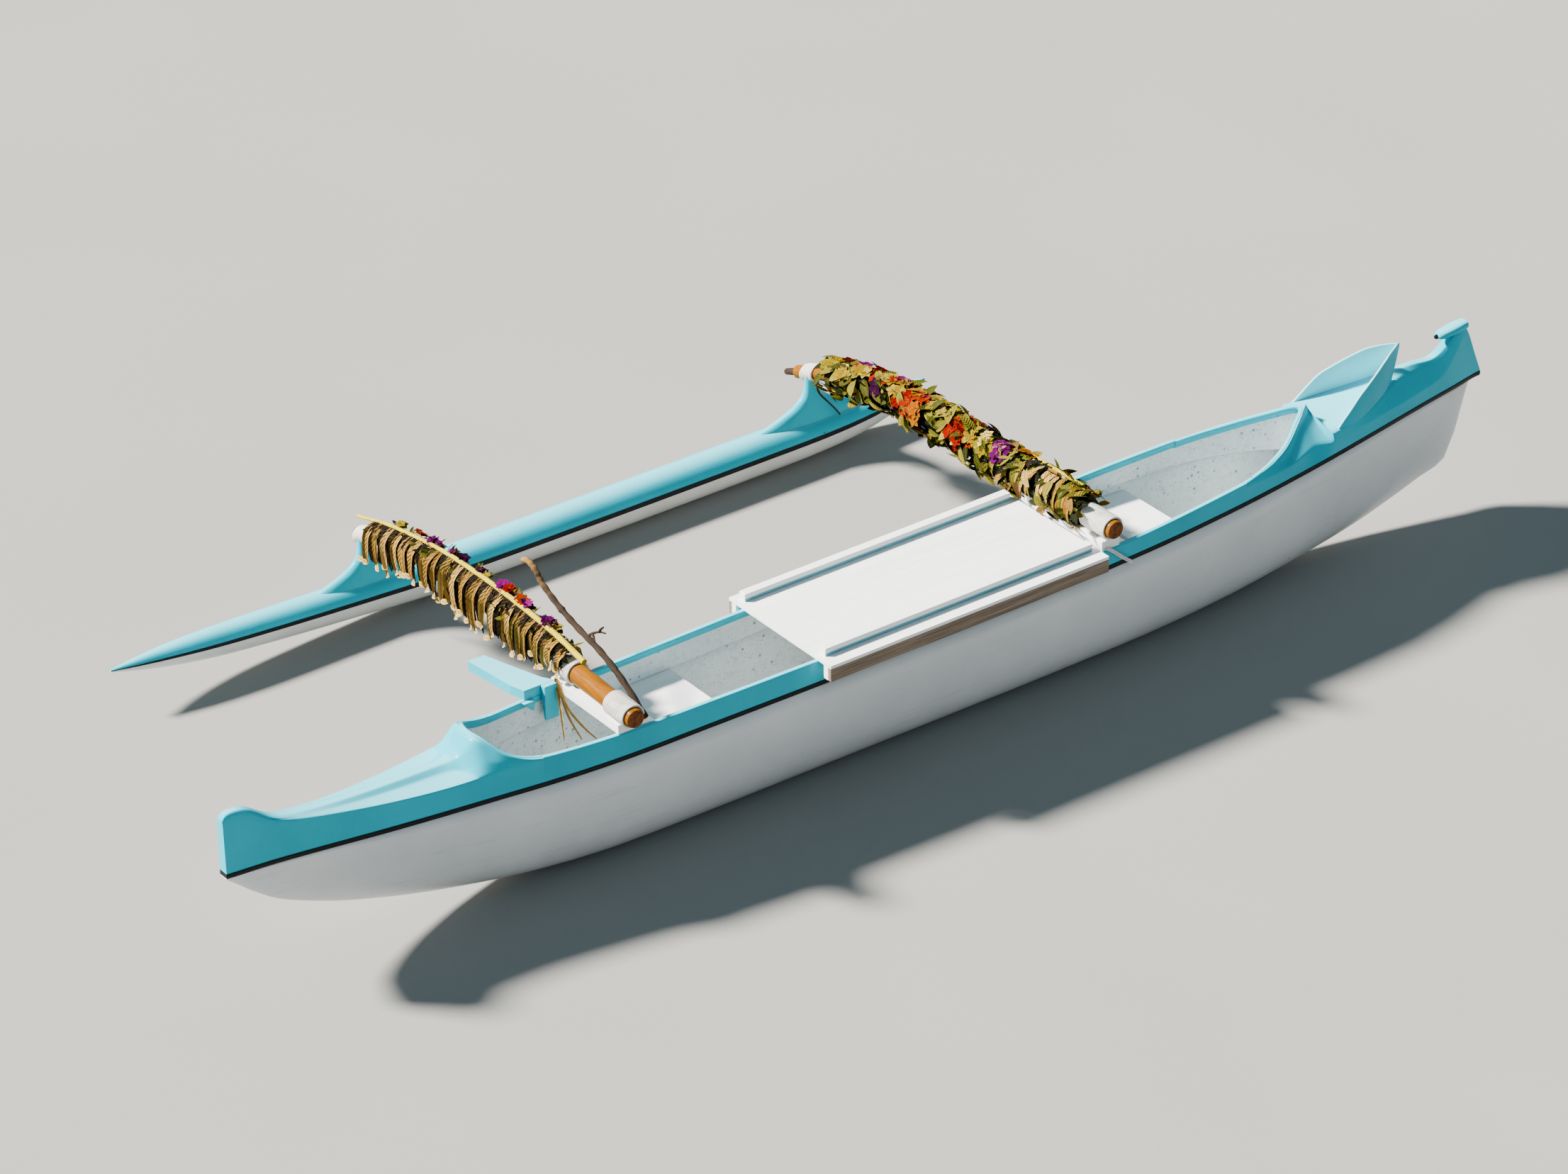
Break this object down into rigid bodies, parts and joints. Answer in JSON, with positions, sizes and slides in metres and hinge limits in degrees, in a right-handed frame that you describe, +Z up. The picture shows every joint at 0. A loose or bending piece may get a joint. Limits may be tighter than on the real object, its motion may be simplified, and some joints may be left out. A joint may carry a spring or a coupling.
{
  "type": "outrigger canoe",
  "caption": "Outrigger canoe with a slender hull, a float on two curved booms lashed with rope, a serving board amidships and leaf decoration",
  "frame": {"origin": "middle of the flat keel strip, under the middle of the serving board; keel_rest lies there", "axes": "+X runs from stern to bow along the hull, +Y to port where the float is, +Z up with the canoe parked on keel and float"},
  "size_m": [6.237, 2.2488, 0.9635],
  "materials": {
    "raw_wood": "bare wood",
    "white_paint": "satin paint",
    "varnished_wood": "varnished",
    "driftwood": "bare wood",
    "turquoise": "glossy gelcoat",
    "underbody": "glossy gelcoat",
    "black_stripe": "satin",
    "leaf_midrib": "smooth",
    "rope": "woven",
    "dry_leaves": "dry leaves",
    "green_leaves": "leafy",
    "speckled_liner": "speckled paint"
  },
  "bodies": {
    "root": {"board_lip_port": "raw_wood", "board_lip_starboard": "raw_wood", "board_panel": "white_paint", "board_rail_far": "white_paint", "board_rail_near": "white_paint", "boom_aft": "varnished_wood", "boom_fore": "varnished_wood", "boom_peg_fore": "driftwood", "bow_deck": "turquoise", "bracket_arm": "turquoise", "bracket_pad": "turquoise", "float_lower": "underbody", "float_stripe": "black_stripe", "float_upper": "turquoise", "frond_midrib": "leaf_midrib", "gunwale_port": "turquoise", "gunwale_starboard": "turquoise", "hull_aft": "underbody", "hull_fore": "underbody", "hull_middle": "underbody", "lashing_aft_float": "rope", "lashing_aft_port": "rope", "lashing_aft_starboard": "rope", "lashing_fore_float": "rope", "lashing_fore_port": "rope", "lashing_fore_starboard": "rope", "leaf_bundle_aft": "dry_leaves", "leaf_wrap_fore": "green_leaves", "leaflet_fringe": "dry_leaves", "liner_port": "speckled_liner", "liner_starboard": "speckled_liner", "pole": "driftwood", "pylon_aft": "turquoise", "pylon_fore": "turquoise", "seam_stripe_port": "black_stripe", "seam_stripe_starboard": "black_stripe", "seat_aft": "white_paint", "seat_fore": "white_paint", "stern_deck": "turquoise", "thwart_aft": "white_paint", "thwart_fore": "white_paint"}
  },
  "joints": []
}
